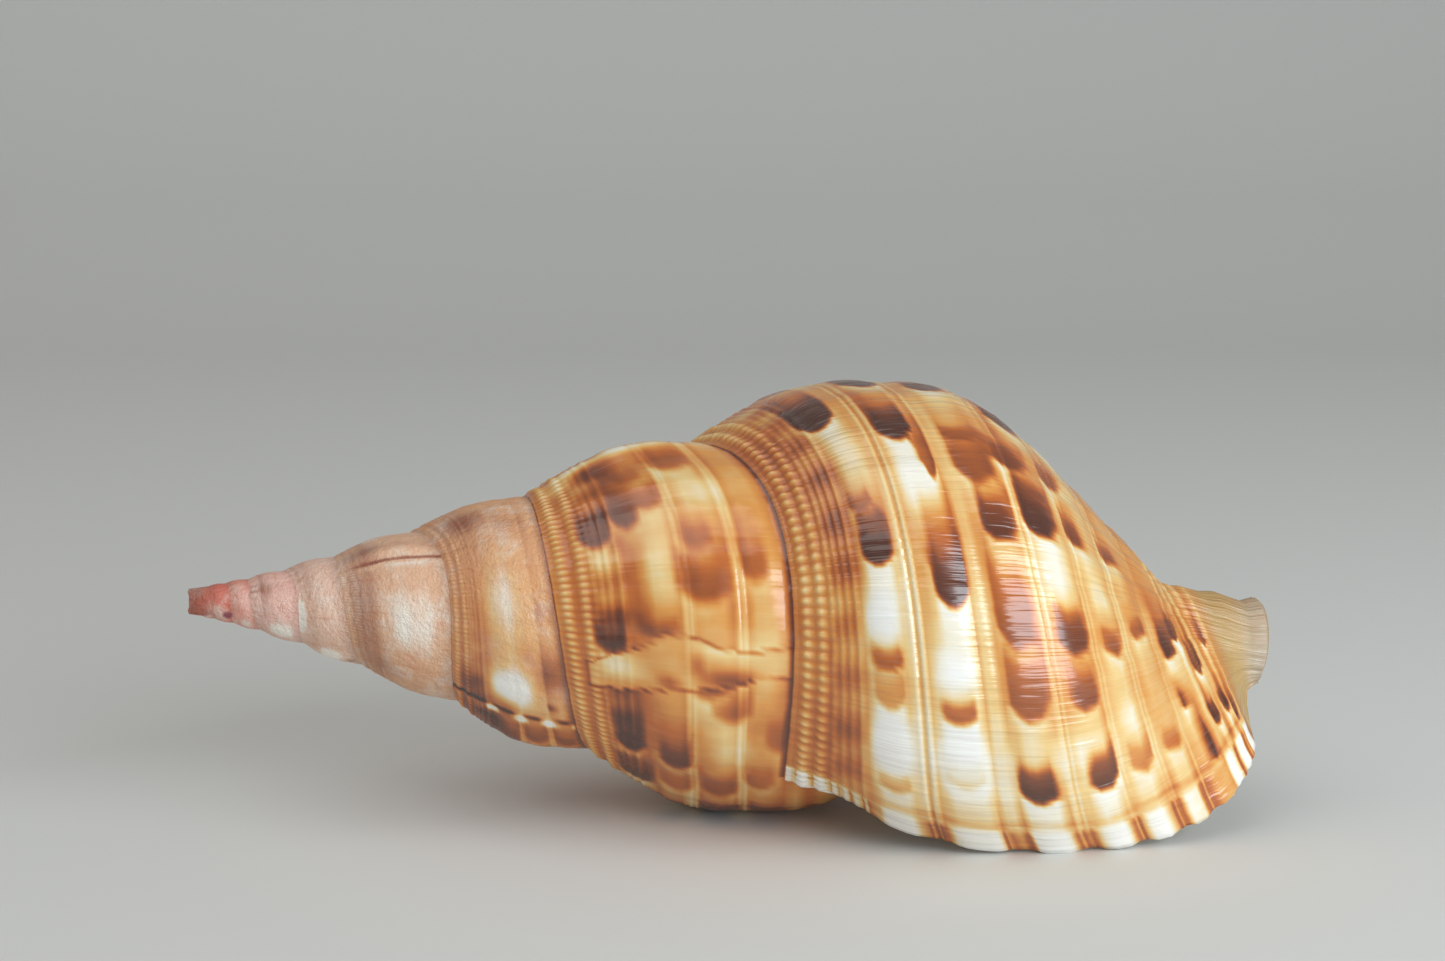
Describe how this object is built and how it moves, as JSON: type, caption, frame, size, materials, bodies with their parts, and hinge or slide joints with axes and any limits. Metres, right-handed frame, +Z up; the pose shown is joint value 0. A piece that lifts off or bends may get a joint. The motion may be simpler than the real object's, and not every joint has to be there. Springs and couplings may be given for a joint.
{
  "type": "triton shell",
  "caption": "Spired sea snail shell lying on its aperture, with a wide mouth, a flared lip and a short siphonal canal; a display piece or prop.",
  "frame": {"origin": "middle of the bounding box's bottom face, on the surface the shell lies on", "axes": "+X along the coiling axis from the spire's tip to the siphonal canal, +Z up, so the outer lip is on the -Y side"},
  "size_m": [0.2548, 0.113, 0.1033],
  "materials": {
    "shell": "polished natural shell, cream and orange with dark brown spots"
  },
  "bodies": {
    "root": {"shell": "shell"}
  },
  "joints": []
}
